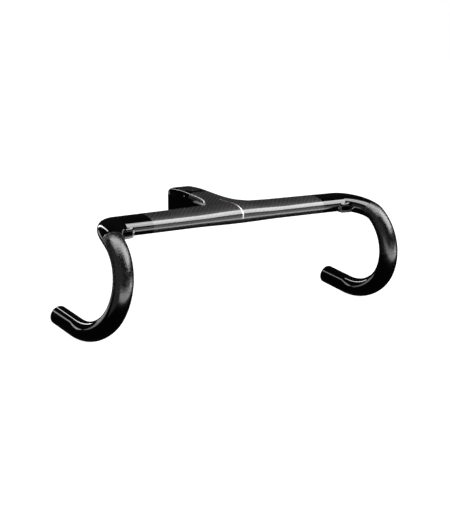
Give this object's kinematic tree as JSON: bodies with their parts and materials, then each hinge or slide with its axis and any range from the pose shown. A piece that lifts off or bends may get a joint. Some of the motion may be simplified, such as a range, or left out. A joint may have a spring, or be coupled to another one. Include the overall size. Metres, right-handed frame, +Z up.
{
  "type": "drop handlebar with integrated stem",
  "caption": "Drop handlebar moulded in one with its stem: wing-shaped tops, front cable ports, flared hooks and a slotted steerer clamp.",
  "frame": {"origin": "on the steerer axis, at half the height of the stem's clamp", "axes": "+Z up along the steerer axis, -Y forward along the bicycle, +X to the rider's left"},
  "size_m": [0.4462, 0.2005, 0.1549],
  "materials": {
    "carbon_laminate": "woven carbon under clear gloss lacquer",
    "sleeve_laminate": "bare moulded laminate",
    "rubber": "matt",
    "bolt_steel": "black oxide",
    "washer_steel": "turned",
    "insert_aluminium": "anodised",
    "cover_plastic": "fine satin texture",
    "brass": "knurled"
  },
  "bodies": {
    "cockpit": {"centre_moulding": "carbon_laminate", "left_drop": "carbon_laminate", "right_drop": "carbon_laminate", "left_joint_sleeve": "sleeve_laminate", "right_joint_sleeve": "sleeve_laminate", "left_port_grommet": "rubber", "right_port_grommet": "rubber", "upper_clamp_insert": "insert_aluminium", "lower_clamp_insert": "insert_aluminium", "cable_cover_inserts": "brass", "computer_mount_inserts": "brass"},
    "upper_washer": {"upper_clamp_washer": "washer_steel"},
    "upper_bolt": {"upper_clamp_bolt": "bolt_steel"},
    "lower_washer": {"lower_clamp_washer": "washer_steel"},
    "lower_bolt": {"lower_clamp_bolt": "bolt_steel"},
    "top_cover": {"steerer_top_cover": "cover_plastic", "top_cover_o_ring": "rubber"},
    "cable_cover": {"cable_cover": "cover_plastic"},
    "front_screw": {"front_cover_screw": "bolt_steel"},
    "rear_screw": {"rear_cover_screw": "bolt_steel"}
  },
  "joints": [
    {"name": "upper_bolt_back_off", "type": "slide", "parent": "cockpit", "child": "upper_washer", "axis": [1, 0, 0], "range_m": [0, 0.0016]},
    {"name": "upper_bolt_turn", "type": "hinge", "parent": "upper_washer", "child": "upper_bolt", "pos_m": [0.0145, 0.0206, 0.0105], "axis": [1, 0, 0], "range_deg": [0, 720]},
    {"name": "lower_bolt_back_off", "type": "slide", "parent": "cockpit", "child": "lower_washer", "axis": [1, 0, 0], "range_m": [0, 0.0016]},
    {"name": "lower_bolt_turn", "type": "hinge", "parent": "lower_washer", "child": "lower_bolt", "pos_m": [0.0145, 0.0206, -0.0105], "axis": [1, 0, 0], "range_deg": [0, 720]},
    {"name": "top_cover_lift", "type": "slide", "parent": "cockpit", "child": "top_cover", "axis": [0, 0, 1], "range_m": [0, 0.015]},
    {"name": "cable_cover_drop", "type": "slide", "parent": "cockpit", "child": "cable_cover", "axis": [0, 0, -1], "range_m": [0, 0.02]},
    {"name": "front_cover_screw_turn", "type": "hinge", "parent": "cable_cover", "child": "front_screw", "pos_m": [0, -0.0618, -0.016], "axis": [0, 0, -1], "range_deg": [0, 360]},
    {"name": "rear_cover_screw_turn", "type": "hinge", "parent": "cable_cover", "child": "rear_screw", "pos_m": [0, -0.0362, -0.016], "axis": [0, 0, -1], "range_deg": [0, 360]}
  ],
  "couplings": [
    {"joint": "upper_bolt_turn", "follows": "upper_bolt_back_off", "rad_per_m": 7854},
    {"joint": "lower_bolt_turn", "follows": "lower_bolt_back_off", "rad_per_m": 7854}
  ]
}
